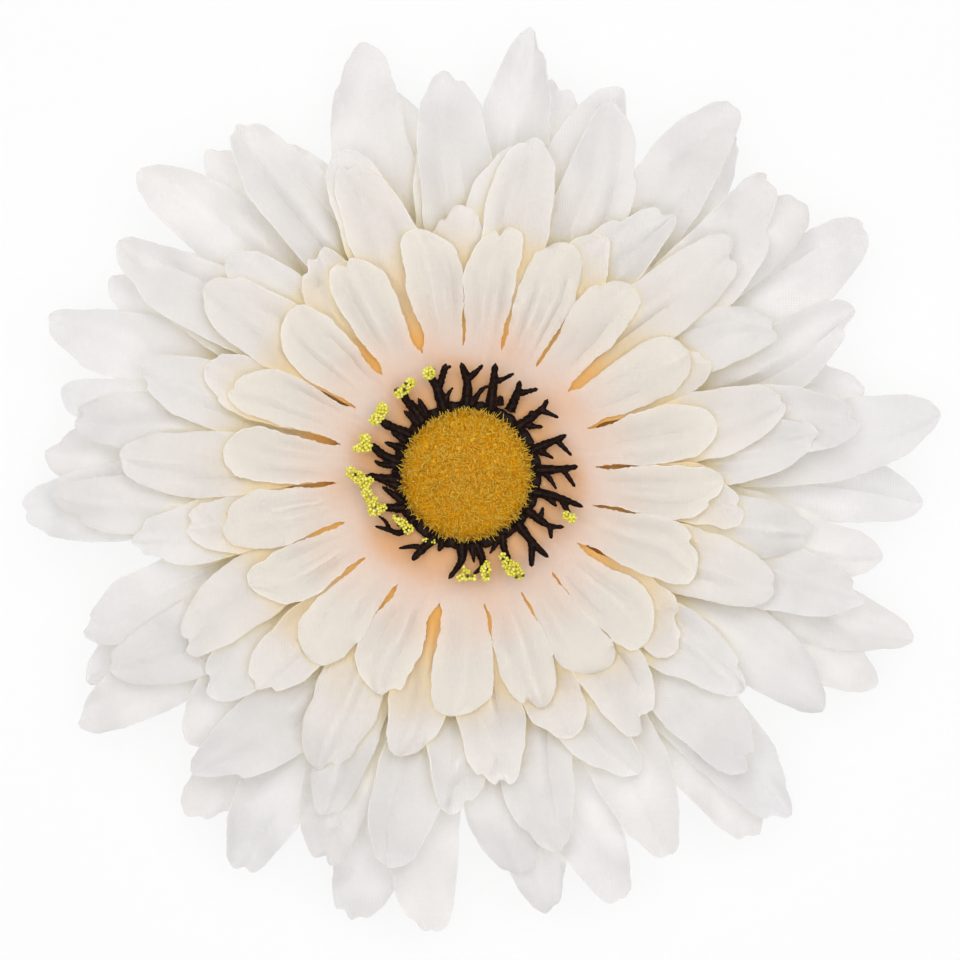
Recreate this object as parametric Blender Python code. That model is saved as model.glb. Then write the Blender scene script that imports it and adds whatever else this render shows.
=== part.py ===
"""Artificial gerbera flower head, lying on its back and facing up.

Seven die-cut fabric petal sheets are threaded on the peg of a flocked centre button, kept
apart by washers, with a moulded stamen collar on top and a moulded green calyx below.
Every length here is in millimetres; build_object() turns them into metres.
The origin is on the flower's axis, in the flat end of the calyx that it rests on.
"""
import math

import bmesh
import bpy
from mathutils import Matrix, Vector

MM = 0.001
GAP = 0.3                      # clearance between pieces that touch

# --- the stack on the peg --------------------------------------------------------------
SHEET_THICKNESS = 0.4
SHEET_PITCH = 1.7              # from one sheet to the next at the hub
LOWEST_SHEET_Z = 12.2
PEG_RADIUS = 1.6
HOLE_RADIUS = PEG_RADIUS + GAP
WASHER_RADIUS = 4.5
WASHER_SIDES = 16

# --- how the sheets fan out ------------------------------------------------------------
FAN_START = 15.0               # radius where the sheets leave the flat hub
FAN_RUN = 45.0                 # radius still to go from there to the outermost tips
DROOP = 6.0                    # how far every sheet has curved down at the outermost tips
CUP = 0.7                      # how far a petal's edges stand above its middle
TIP_FULLNESS = 1.9             # higher keeps a petal wide for longer past its shoulder
TIP_BLUNTNESS = 0.55           # lower makes a petal's tip rounder
LAST_ROW_SHARE = 0.96          # where along a petal its last pair of edge points is

# --- centre ----------------------------------------------------------------------------
BUTTON_RADIUS = 7.7
BUTTON_DOME = 3.2
BUTTON_WALL = 0.7              # straight rim below the dome
FLOCK_DEPTH = 1.0
CENTRE_SIDES = 24
CENTRE_RINGS = 4

COLLAR_INNER = 9.0
COLLAR_OUTER = 10.1
COLLAR_THICKNESS = 0.6
STAMEN_FIRST = 109.0           # angle of the first stamen's root
STAMEN_SLOPE = 0.38            # rise of the stamens per millimetre outwards
STAMEN_ROOT_WIDTH = 1.3
FORK_RADIUS = 12.3
FORK_WIDTH = 1.0
TINE_TIP_WIDTH = 0.4

# --- calyx -----------------------------------------------------------------------------
SEPALS = 12
SEPAL_REACH = 5.5              # how far a sepal's point stands out of the notch beside it
SOCKET_FLOOR_Z = 4.0
# Radius, height and share of the sepals' reach, from the flat foot up to the rim.
CALYX_BODY = ((6.2, 0.0, 0.0), (7.0, 1.2, 0.0), (8.6, 6.0, 0.0),
              (10.6, 9.2, 0.25), (11.4, 10.3, 1.0), (11.2, 11.0, 1.0))
CALYX_TOP_RADIUS = 10.0
SEPAL_OUTLINE = (0.0, 0.55, 1.0, 0.55)     # from one notch to the next, round the rim

# Each sheet from the top down. "phase" is the angle of the first petal's root, and the
# others follow clockwise at an even pitch; sheet 1 is cut unevenly, so it lists its "roots".
# "tips" holds the angle and the radius of each petal's tip, so a petal whose tip is off its
# root's angle leans sideways. "fan" is how far the sheet rises before the common droop.
# "waist" is the root's width as a share of the full width, and "shoulder" where along the
# petal it is widest.
SHEETS = (
    dict(name="petal_sheet_1", root=16.6, fan=9.5, waist=0.62, shoulder=0.55,
         widths=(6.9, 6.0, 6.8, 6.5, 6.7, 6.7, 6.0, 6.7, 6.6, 6.0,
                 7.0, 7.9, 7.6, 7.2, 6.5, 6.8, 6.2, 6.0, 7.2, 6.5),
         tips=((99, 32.2), (83, 32.3), (67, 32.5), (51, 32.2), (29, 32.5),
               (11, 32.8), (-4, 33.0), (-20, 31.9), (-40, 31.5), (-56, 30.7),
               (-72, 31.4), (-91, 31.0), (-115, 30.2), (-132, 31.1), (-150, 31.3),
               (-168, 32.1), (-186, 31.4), (-202, 32.4), (-220, 31.0), (-241, 31.9)),
         roots=(100, 83, 66, 49, 30, 12, -5, -22, -41, -57,
                -73, -91, -113, -132, -150, -168, -185, -202, -220, -240)),
    dict(name="petal_sheet_2", root=16.6, fan=8.0, phase=93, waist=0.5, shoulder=0.58,
         widths=(7.4, 8.0) * 11,
         tips=((93, 34.7), (79, 44.3), (61, 35.5), (40, 45.6), (27, 34.5), (11, 42.3),
               (-5, 36.0), (-20, 42.4), (-37, 35.2), (-53, 40.0), (-68, 36.4), (-83, 40.4),
               (-101, 37.1), (-117, 42.5), (-135, 38.6), (-151, 42.7), (-168, 36.9),
               (-181, 44.8), (-202, 36.4), (-215, 41.6), (-234, 35.0), (-250, 42.9))),
    dict(name="petal_sheet_3", root=15.6, fan=6.5, phase=137, waist=0.6, shoulder=0.6,
         widths=(7.8,) * 14,
         tips=((138, 41.8), (111, 44.9), (84, 43.0), (54, 43.0), (28, 45.0), (4, 45.5),
               (-9, 45.4), (-35, 45.0), (-62, 44.5), (-90, 43.7), (-112, 48.0),
               (-140, 43.8), (-167, 44.0), (-197, 44.4))),
    dict(name="petal_sheet_4", root=15.6, fan=5.0, phase=113, waist=0.58, shoulder=0.6,
         widths=(9.4, 9.8, 10.4, 10.4, 9.6, 9.8, 9.6, 10.2, 9.6, 10.6, 10.2, 8.0, 8.2, 9.8),
         tips=((124, 54.6), (93, 52.3), (66, 51.8), (42, 55.2), (10, 51.4), (-18, 54.0),
               (-45, 52.7), (-79, 50.0), (-103, 51.8), (-131, 52.5), (-151, 52.7),
               (-176, 53.7), (-188, 51.8), (-211, 54.0))),
    dict(name="petal_sheet_5", root=15.6, fan=3.6, phase=121, waist=0.58, shoulder=0.6,
         widths=(9.6,) * 14,
         tips=((118, 49.2), (93, 49.2), (70, 54.0), (38, 56.3), (21, 54.6), (-14, 54.7),
               (-31, 55.2), (-61, 56.3), (-85, 52.5), (-113, 54.0), (-138, 50.0),
               (-157, 53.7), (-190, 53.7), (-215, 50.4))),
    dict(name="petal_sheet_6", root=15.6, fan=2.2, phase=107, waist=0.58, shoulder=0.62,
         widths=(9.8,) * 14,
         tips=((106, 57.8), (82, 58.8), (55, 59.6), (30, 61.3), (5, 62.0), (-21, 61.8),
               (-45, 61.0), (-71, 59.6), (-97, 59.9), (-121, 59.8), (-147, 60.0),
               (-175, 58.5), (-200, 58.3), (-225, 58.1))),
    dict(name="petal_sheet_7", root=15.6, fan=0.8, phase=127, waist=0.58, shoulder=0.62,
         widths=(9.8,) * 14,
         tips=((127, 54.2), (100, 51.6), (77, 52.8), (51, 56.8), (14, 53.0), (-1, 59.4),
               (-26, 60.0), (-49, 60.3), (-79, 58.1), (-104, 60.2), (-127, 57.4),
               (-151, 56.3), (-183, 55.0), (-208, 53.0))),
)

# Angle and radius of the two tines that each stamen forks into, clockwise from the top one.
STAMENS = (((110, 14.1), (98, 14.6)), ((92, 14.4), (81, 14.3)), ((76, 14.9), (65, 14.3)),
           ((60, 14.0), (50, 14.3)), ((43, 14.3), (32, 13.9)), ((22, 13.7), (11, 13.7)),
           ((4, 14.2), (-7, 14.0)), ((-15, 15.4), (-22, 14.0)), ((-28, 14.2), (-37, 13.6)),
           ((-46, 15.0), (-55, 14.4)), ((-61, 14.0), (-68, 14.0)), ((-76, 13.4), (-82, 13.0)),
           ((-90, 13.2), (-99, 13.6)), ((-122, 13.0), (-133, 13.0)),
           ((-143, 12.0), (-151, 13.4)), ((-160, 12.8), (-168, 12.8)),
           ((-174, 13.6), (-184, 14.4)), ((-194, 13.8), (-201, 14.0)),
           ((-210, 13.4), (-218, 13.4)), ((-229, 13.2), (-238, 14.0)))

# Angle and radius of the middle, half length outwards and half width of each pollen clump.
POLLEN = ((110, 14.1, 0.9, 0.9), (126, 13.6, 0.9, 1.8), (145, 13.6, 1.1, 1.6),
          (162, 13.7, 1.1, 1.8), (182, 13.8, 1.8, 1.1), (197, 12.6, 1.0, 1.8),
          (218, 10.4, 0.8, 1.6), (240, 9.8, 0.5, 0.9), (270, 13.0, 1.2, 1.0),
          (282, 12.6, 1.3, 0.9), (296, 13.3, 2.1, 1.4), (338, 14.3, 1.2, 1.0))

TOP_SHEET_Z = LOWEST_SHEET_Z + SHEET_PITCH * (len(SHEETS) - 1)
CENTRE_FLOOR_Z = TOP_SHEET_Z + SHEET_THICKNESS / 2 + GAP
CALYX_SEAT_Z = LOWEST_SHEET_Z - SHEET_THICKNESS / 2 - GAP


def polar(radius, degrees, z=0.0):
    """The point at a radius and an angle round the axis."""
    angle = math.radians(degrees)
    return Vector((radius * math.cos(angle), radius * math.sin(angle), z))


def smooth_step(share):
    share = min(max(share, 0.0), 1.0)
    return share * share * (3.0 - 2.0 * share)


# --- materials and objects -------------------------------------------------------------

def make_material(name, colour, roughness, metallic=0.0):
    material = bpy.data.materials.new(name)
    material.use_nodes = True
    shader = material.node_tree.nodes["Principled BSDF"]
    shader.inputs["Base Color"].default_value = (*colour, 1.0)
    shader.inputs["Roughness"].default_value = roughness
    shader.inputs["Metallic"].default_value = metallic
    return material


def build_object(name, bm, material, thickness=0.0, smooth_angle=30.0):
    """Scale a mesh from millimetres to metres and link it, as a solid of a given thickness."""
    bmesh.ops.scale(bm, vec=(MM, MM, MM), verts=bm.verts)
    if not thickness:
        bmesh.ops.recalc_face_normals(bm, faces=bm.faces)
    mesh = bpy.data.meshes.new(name)
    bm.to_mesh(mesh)
    bm.free()
    mesh.materials.append(material)
    mesh.shade_smooth()
    mesh.set_sharp_from_angle(angle=math.radians(smooth_angle))
    part = bpy.data.objects.new(name, mesh)
    bpy.context.scene.collection.objects.link(part)
    if thickness:
        solidify = part.modifiers.new("thickness", "SOLIDIFY")
        solidify.thickness = thickness * MM
        solidify.offset = 0.0
    return part


def add_ring(bm, points):
    return [bm.verts.new(point) for point in points]


def bridge(bm, lower, upper):
    """Join two closed rings of as many points with quads."""
    count = len(lower)
    for i in range(count):
        j = (i + 1) % count
        bm.faces.new((lower[i], lower[j], upper[j], upper[i]))


def turned_solid(profile, sides):
    """Turn a closed profile of (radius, z) points, none of them on the axis."""
    bm = bmesh.new()
    rings = []
    for radius, z in profile:
        rings.append(add_ring(bm, [polar(radius, 360.0 * i / sides, z) for i in range(sides)]))
    for lower, upper in zip(rings, rings[1:] + rings[:1]):
        bridge(bm, lower, upper)
    return bm


# --- petal sheets ----------------------------------------------------------------------

def sheet_z(sheet, index, radius):
    """Height of a sheet's middle surface at a radius, before the petals' own cupping."""
    hub = TOP_SHEET_Z - SHEET_PITCH * index
    run = max(0.0, (radius - FAN_START) / FAN_RUN)
    return hub + sheet["fan"] * run - DROOP * run * run


def petal_width(sheet, width, share):
    """Full width of a petal at a share of its length, root to tip."""
    shoulder = sheet["shoulder"]
    if share <= shoulder:
        waist = sheet["waist"]
        return width * (waist + (1.0 - waist) * smooth_step(share / shoulder))
    over = (share - shoulder) / (1.0 - shoulder)
    return width * (1.0 - min(over, 1.0) ** TIP_FULLNESS) ** TIP_BLUNTNESS


def petal_roots(sheet):
    """The angle of each petal's root: listed, or at an even pitch."""
    if "roots" in sheet:
        return sheet["roots"]
    count = len(sheet["tips"])
    return [sheet["phase"] - 360.0 * i / count for i in range(count)]


def petal_rows(sheet, index, root_angle, tip, width):
    """Rows of three points (left edge, middle, right edge) from the root to the tip."""
    root = polar(sheet["root"], root_angle)
    end = polar(tip[1], tip[0])
    run = end - root
    side = Vector((-run.y, run.x, 0.0)).normalized()
    shoulder = sheet["shoulder"]
    shares = (shoulder / 2, shoulder, (1.0 + shoulder) / 2, LAST_ROW_SHARE)
    rows = []
    for share in shares:
        half = petal_width(sheet, width, share) / 2
        lift = CUP * smooth_step(share / shoulder)
        row = []
        for across in (1, 0, -1):
            reach = 1.0 if share == shares[-1] and across == 0 else share
            point = root + run * reach + side * half * across
            point.z = sheet_z(sheet, index, math.hypot(point.x, point.y))
            point.z += lift * (abs(across) - 0.5)
            row.append(point)
        rows.append(row)
    return rows


def build_petal_sheet(sheet, index, material):
    """One die-cut sheet: a holed hub disc with all its petals, in a single surface."""
    bm = bmesh.new()
    hub = TOP_SHEET_Z - SHEET_PITCH * index
    root_radius = sheet["root"]
    roots = petal_roots(sheet)
    hole_ring = []
    root_ring = []
    root_rows = []
    for root_angle, width in zip(roots, sheet["widths"]):
        half = math.degrees(petal_width(sheet, width, 0.0) / 2 / root_radius)
        angles = (root_angle + half, root_angle, root_angle - half)
        row = add_ring(bm, [polar(root_radius, a, hub) for a in angles])
        root_rows.append(row)
        root_ring += row
        hole_ring += add_ring(bm, [polar(HOLE_RADIUS, a, hub) for a in angles])
    bridge(bm, root_ring, hole_ring)
    for root_angle, tip, width, row in zip(roots, sheet["tips"], sheet["widths"], root_rows):
        for points in petal_rows(sheet, index, root_angle, tip, width):
            next_row = add_ring(bm, points)
            for k in range(2):
                bm.faces.new((row[k], row[k + 1], next_row[k + 1], next_row[k]))
            row = next_row
    bmesh.ops.recalc_face_normals(bm, faces=bm.faces)
    build_object(sheet["name"], bm, material, SHEET_THICKNESS)


def build_washers(material):
    """The washers that keep neighbouring sheets apart at the hub."""
    for i in range(len(SHEETS) - 1):
        under = TOP_SHEET_Z - SHEET_PITCH * (i + 1) + SHEET_THICKNESS / 2 + GAP
        over = TOP_SHEET_Z - SHEET_PITCH * i - SHEET_THICKNESS / 2 - GAP
        profile = ((HOLE_RADIUS, under), (WASHER_RADIUS, under),
                   (WASHER_RADIUS, over), (HOLE_RADIUS, over))
        build_object(f"washer_{i + 1}", turned_solid(profile, WASHER_SIDES), material)


# --- centre ----------------------------------------------------------------------------

def dome_profile(offset, floor):
    """(radius, z) points of the button's dome, moved out by an offset, from the rim up."""
    spring = CENTRE_FLOOR_Z + BUTTON_WALL
    points = [(BUTTON_RADIUS + offset, floor)]
    for i in range(CENTRE_RINGS):
        angle = math.radians(90.0 * i / CENTRE_RINGS)
        points.append(((BUTTON_RADIUS + offset) * math.cos(angle),
                       spring + (BUTTON_DOME + offset) * math.sin(angle)))
    return points


def cap_with_fan(bm, ring, z):
    """Close a ring with triangles to a point on the axis."""
    top = bm.verts.new((0.0, 0.0, z))
    for i, vertex in enumerate(ring):
        bm.faces.new((vertex, ring[(i + 1) % len(ring)], top))


def rings_of(bm, profile):
    rings = []
    for radius, z in profile:
        points = [polar(radius, 360.0 * i / CENTRE_SIDES, z) for i in range(CENTRE_SIDES)]
        rings.append(add_ring(bm, points))
    for lower, upper in zip(rings, rings[1:]):
        bridge(bm, lower, upper)
    return rings


def build_button(material):
    """The moulded centre button with the peg that holds the stack, in one piece."""
    bm = bmesh.new()
    dome_top = CENTRE_FLOOR_Z + BUTTON_WALL + BUTTON_DOME
    peg_end = SOCKET_FLOOR_Z + GAP
    profile = [(PEG_RADIUS, peg_end), (PEG_RADIUS, CENTRE_FLOOR_Z)]
    profile += dome_profile(0.0, CENTRE_FLOOR_Z)
    rings = rings_of(bm, profile)
    cap_with_fan(bm, rings[-1], dome_top)
    cap_with_fan(bm, rings[0], peg_end)
    build_object("centre_button", bm, material)


def build_flock(material):
    """The coat of flock glued over the button, as a plain shell of its depth."""
    bm = bmesh.new()
    floor = CENTRE_FLOOR_Z + GAP
    top = CENTRE_FLOOR_Z + BUTTON_WALL + BUTTON_DOME
    outer = rings_of(bm, dome_profile(FLOCK_DEPTH, floor))
    inner = rings_of(bm, dome_profile(GAP, floor))
    cap_with_fan(bm, outer[-1], top + FLOCK_DEPTH)
    cap_with_fan(bm, inner[-1], top + GAP)
    bridge(bm, outer[0], inner[0])
    build_object("flock_coat", bm, material)


def stamen_z(radius):
    """Height of the stamens' middle surface, flat in the collar and rising outwards."""
    collar = CENTRE_FLOOR_Z + COLLAR_THICKNESS / 2
    return collar + STAMEN_SLOPE * max(0.0, radius - COLLAR_OUTER)


def lifted(point):
    point.z = stamen_z(math.hypot(point.x, point.y))
    return point


def crosswise(point, outwards, width, count):
    """Points across a strip that runs outwards, from its left edge to its right edge."""
    side = Vector((-outwards.y, outwards.x, 0.0)).normalized()
    shares = [0.5 - i / (count - 1) for i in range(count)]
    return [lifted(point + side * width * share) for share in shares]


def build_stamen_collar(material):
    """A flat ring with forked stamens round it, bent up and given its thickness."""
    bm = bmesh.new()
    inner_ring = []
    outer_ring = []
    pitch = 360.0 / len(STAMENS)
    for i, tines in enumerate(STAMENS):
        root_angle = STAMEN_FIRST - pitch * i
        half = math.degrees(STAMEN_ROOT_WIDTH / 2 / COLLAR_OUTER)
        angles = (root_angle + half, root_angle, root_angle - half)
        root = add_ring(bm, [lifted(polar(COLLAR_OUTER, a)) for a in angles])
        outer_ring += root
        inner_ring += add_ring(bm, [lifted(polar(COLLAR_INNER, a)) for a in angles])
        fork_angle = (root_angle + tines[0][0] + tines[1][0]) / 3
        fork_point = polar(FORK_RADIUS, fork_angle)
        stem = fork_point - polar(COLLAR_OUTER, root_angle)
        fork = add_ring(bm, crosswise(fork_point, stem, FORK_WIDTH, 3))
        for k, (angle, radius) in enumerate(tines):
            tip_point = polar(radius, angle)
            tip = add_ring(bm, crosswise(tip_point, tip_point - fork_point, TINE_TIP_WIDTH, 2))
            bm.faces.new((root[k], root[k + 1], fork[k + 1], fork[k]))
            bm.faces.new((fork[k], fork[k + 1], tip[1], tip[0]))
    bridge(bm, outer_ring, inner_ring)
    bmesh.ops.recalc_face_normals(bm, faces=bm.faces)
    build_object("stamen_collar", bm, material, COLLAR_THICKNESS)


def build_pollen(material):
    """Clumps of glued granules lying on the tines, each as a plain rounded lump."""
    for i, (angle, radius, half_length, half_width) in enumerate(POLLEN):
        bm = bmesh.new()
        bmesh.ops.create_icosphere(bm, subdivisions=2, radius=1.0)
        height = min(half_length, half_width)
        bmesh.ops.scale(bm, vec=(half_length, half_width, height), verts=bm.verts)
        for vertex in bm.verts:
            vertex.co.z += STAMEN_SLOPE * vertex.co.x
        turn = Matrix.Rotation(math.radians(angle), 3, "Z")
        bmesh.ops.rotate(bm, matrix=turn, verts=bm.verts)
        rise = COLLAR_THICKNESS / 2 + GAP + height
        bmesh.ops.translate(bm, vec=polar(radius, angle, stamen_z(radius) + rise),
                            verts=bm.verts)
        build_object(f"pollen_clump_{i + 1:02d}", bm, material)


# --- calyx -----------------------------------------------------------------------------

def build_calyx(material):
    """A moulded cup with a flat foot, a blind socket for the peg and a rim of sepals."""
    bm = bmesh.new()
    steps = len(SEPAL_OUTLINE)
    sides = SEPALS * steps
    rim_share = CALYX_BODY[3][2]
    profile = CALYX_BODY + ((CALYX_TOP_RADIUS, CALYX_SEAT_Z, rim_share),
                            (HOLE_RADIUS, CALYX_SEAT_Z, 0.0),
                            (HOLE_RADIUS, SOCKET_FLOOR_Z, 0.0))
    rings = []
    for radius, z, flare in profile:
        points = []
        for i in range(sides):
            reach = radius + flare * SEPAL_REACH * SEPAL_OUTLINE[i % steps]
            points.append(polar(reach, 360.0 * i / sides, z))
        rings.append(add_ring(bm, points))
    for lower, upper in zip(rings, rings[1:]):
        bridge(bm, lower, upper)
    bm.faces.new(rings[0])
    bm.faces.new(rings[-1])
    build_object("calyx", bm, material)


def main():
    for item in list(bpy.data.objects):
        bpy.data.objects.remove(item, do_unlink=True)
    petal = make_material("petal_fabric", (0.90, 0.86, 0.80), 0.75)
    plastic = make_material("clear_plastic", (0.80, 0.78, 0.72), 0.45)
    button = make_material("button_plastic", (0.55, 0.30, 0.03), 0.6)
    flock = make_material("gold_flock", (0.62, 0.36, 0.02), 0.9)
    stamen = make_material("dark_stamen_plastic", (0.03, 0.012, 0.008), 0.35)
    pollen = make_material("yellow_pollen", (0.75, 0.68, 0.06), 0.7)
    calyx = make_material("green_calyx_plastic", (0.12, 0.22, 0.05), 0.5)
    for index, sheet in enumerate(SHEETS):
        build_petal_sheet(sheet, index, petal)
    build_washers(plastic)
    build_button(button)
    build_flock(flock)
    build_stamen_collar(stamen)
    build_pollen(pollen)
    build_calyx(calyx)


main()
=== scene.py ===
import math
import random

import bmesh
import bpy
import numpy as np
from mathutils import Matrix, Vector


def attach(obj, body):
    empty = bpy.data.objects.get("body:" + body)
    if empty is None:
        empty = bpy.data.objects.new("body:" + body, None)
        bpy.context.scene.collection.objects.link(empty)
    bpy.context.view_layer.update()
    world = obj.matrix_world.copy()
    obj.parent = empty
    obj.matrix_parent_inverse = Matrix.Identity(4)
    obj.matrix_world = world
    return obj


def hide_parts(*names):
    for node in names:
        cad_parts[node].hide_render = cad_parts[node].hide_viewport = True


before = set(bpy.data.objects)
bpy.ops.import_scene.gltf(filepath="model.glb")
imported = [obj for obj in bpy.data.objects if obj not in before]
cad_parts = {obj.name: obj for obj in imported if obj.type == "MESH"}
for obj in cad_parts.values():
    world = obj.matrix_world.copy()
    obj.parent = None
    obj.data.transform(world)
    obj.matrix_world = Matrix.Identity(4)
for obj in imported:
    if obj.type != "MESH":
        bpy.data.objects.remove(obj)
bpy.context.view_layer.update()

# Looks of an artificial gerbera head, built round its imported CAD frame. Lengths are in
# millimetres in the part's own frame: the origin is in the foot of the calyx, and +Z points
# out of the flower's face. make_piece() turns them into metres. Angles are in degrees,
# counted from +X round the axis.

MM = 0.001
ROOT = "root"

# --- the stack, as in the CAD model ---
SHEET_PITCH = 1.7  # from one petal sheet to the next at the hub
LOWEST_SHEET_Z = 12.2
HOLE_RADIUS = 1.9
FAN_START = 15.0  # radius where the sheets leave the flat hub
FAN_RUN = 45.0
DROOP = 6.0  # how far every sheet has curved down at the outermost tips
TIP_FULLNESS = 2.0  # powers that shape a petal's rounded end
TIP_BLUNTNESS = 0.6
TIP_WIDTH_SHARE = 0.07  # least width of a petal, as a share of its full width
CORNER_SHARES = (0.16, 0.34, 0.52, 0.66, 0.79, 0.9)  # where a petal's cut edge bends
SHEET_CLOSING = (-1.1, -0.2, 0.6, 1.3, 1.9, 2.4, 2.9)  # lift of each sheet off its own level
CLOSING_START = 11.0  # radius where that lift begins
CLOSING_RUN = 5.0  # distance over which it comes in
EVEN_FAN = 3.6  # a rise that all the sheets are drawn towards
FAN_SPREAD = 0.6  # how much of the sheets' different rises is kept

# --- petal cloth ---
CLOTH_THICKNESS = 0.14
PETAL_ROWS = 60
PETAL_COLUMNS = 14
SLOT_POINTS = 3  # points round the end of the slot between two petals
HUB_RADII = (HOLE_RADIUS, 4.0, 6.5, 9.0, 10.5, 11.6, 12.7, 13.8, 14.8)
RELIEF_START = 10.6  # radius where the pressed creases begin in the hub
SLOT_END = 0.12  # width of a slot at its inner end
SLOT_TAPER = 1.8  # length over which a slot opens
SLOT_DEPTH = 0.9  # most that a slot's round end reaches into the hub
FRAY = 0.045  # how far cut threads move a petal's edge in or out
NOTCH_WIDTH = 0.15  # as a share of half a petal's width
CREASE_PLACES = (-0.5, -0.12, 0.38)  # across a petal, from -1 at its right edge to 1
CLEARANCE = 0.26  # least height between two sheets' middle surfaces
SETTLE_ROUNDS = 30  # how far, in rows, a lift spreads to the cloth round it
SHARED_ROWS = 6  # rows at a root where petals of one sheet may overlap
CELL = 0.2  # pitch of the height map that keeps the sheets apart
MAP_HALF = 66.0
NOTHING = -100.0  # height in that map where no cloth lies
PAINTED_SHADE_REACH = 5  # cells that one blur of the map of covered ground spreads it; that map places the painted shade
PAINTED_SHADE_BLURS = 4  # two blurs along each of the map's two sides
NOTCHES = ((0, 0, 1), (1, 2, 3))  # how many notches a petal's tip has: top sheet, others
DYE_UNEVENNESS = 1.5  # how much further or less far than its mean the dye has run
DYE_WAVE = 9.0  # about how far apart the places are where it has

# --- seeds, so that every run draws the same flower ---
STRIP_SEED = 100  # these three go up by one for each sheet or clump
SHEET_SEED = 200
POLLEN_SEED = 300
FLOCK_SEED = 7
STAMEN_SEED = 21

# --- centre ---
BUTTON_RADIUS = 7.7
BUTTON_DOME = 3.2
BUTTON_WALL = 0.7
FIBRES = 5900
GOLDEN_ANGLE = 137.508  # from one fibre's foot to the next, so that no spot is bare
FIBRE_LENGTH = 0.9
FIBRE_RADIUS = 0.042
FIBRE_SIDES = 3
FIBRE_LEAN = 1.5  # how unevenly the fibres lean
FIBRE_BEND = 0.03
WALL_FIBRES = 0.14  # share of the fibres that stand on the button's low wall
PLAIN_FIBRES = 0.84  # share of the fibres without a painted highlight; the rest turn pale towards their tips as painted glints
COLLAR_PROFILE = ((8.2, 0.05), (9.4, 0.05), (9.65, 0.12), (9.6, 0.26), (9.3, 0.4),
                  (8.8, 0.44), (8.2, 0.35))
COLLAR_SIDES = 120
COLLAR_WOBBLE = 0.12  # how far the collar's edge waves in and out
COLLAR_WAVES = 43
COLLAR_OUTER = 10.1  # radius from which the stamens rise
TRUNK_START = 9.9  # a strand that begins nearer the axis than this is a trunk
TRUNK_FOOT = 8.9  # and reaches in at least this far, into the collar
STAMEN_SLOPE = 0.38
STAMEN_LIFT = 0.3  # height of the stamens' middle over the collar's underside
STRAND_SCALE = 1.14
STRAND_RISE = 0.2  # height of every strand's middle line over the stamens' common slope
STRAND_LIFT = (-0.05, 0.25)  # range of its further rise from its start to its tip
STRAND_UNEVENNESS = 0.14
FOOT_FLARE = 0.25  # how much thicker a strand is where it starts at FLARE_RADIUS
FLARE_RADIUS = 9.0
FLARE_FADE = 0.4  # how fast that fades from each point of the course to the next
RIDGES = 4
RIDGE_SHARE = 0.22  # how far the ridges along a strand stand out, as a share of its radius
STRAND_FLATNESS = 0.8  # a strand's height as a share of its width
GRANULE_RADIUS = 0.235
GRANULE_TRIES = 2600
GRANULE_CLOSENESS = 0.84  # least distance between two granules, of their radii's sum
CLUMP_SCALE = 1.14
MOULD_VOXEL = 0.092  # fineness of the moulded collar's surface

# --- calyx ---
SEPALS = 12
SEPAL_REACH = 5.5
SOCKET_FLOOR_Z = 4.0
SCALE_ROWS = ((0.6, 5.2, 0.55), (3.4, 8.4, 0.5))  # foot, head and standing-out of each row

# --- camera and light ---
VIEW_CENTRE = (1.7, -0.65)
VIEW_WIDTH = 124.8
VIEW_HEIGHT = 12.0  # height over the floor where the view is that wide
CAMERA_DISTANCE = 900.0
SENSOR = 36.0
WORLD_LEVEL = 0.26  # of the light that comes from all round
LAMPS = (("key", (-45.0, 105.0, 700.0), 760.0, 3.42),  # name, place, size and watts
         ("fill", (95.0, -40.0, 680.0), 700.0, 1.42))
LIGHT_BOUNCES = 6
FLOOR_HALF = 2000.0
FLOOR_GLOW = 0.86  # share of plain white in the floor as the camera sees it
GLOW_NEAR = 120.0  # that share rises to 1 between these distances
GLOW_FAR = 500.0

LOWER = dict(root=15.6, waist=0.68, shoulder=0.52)  # what most of the sheets share

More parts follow.
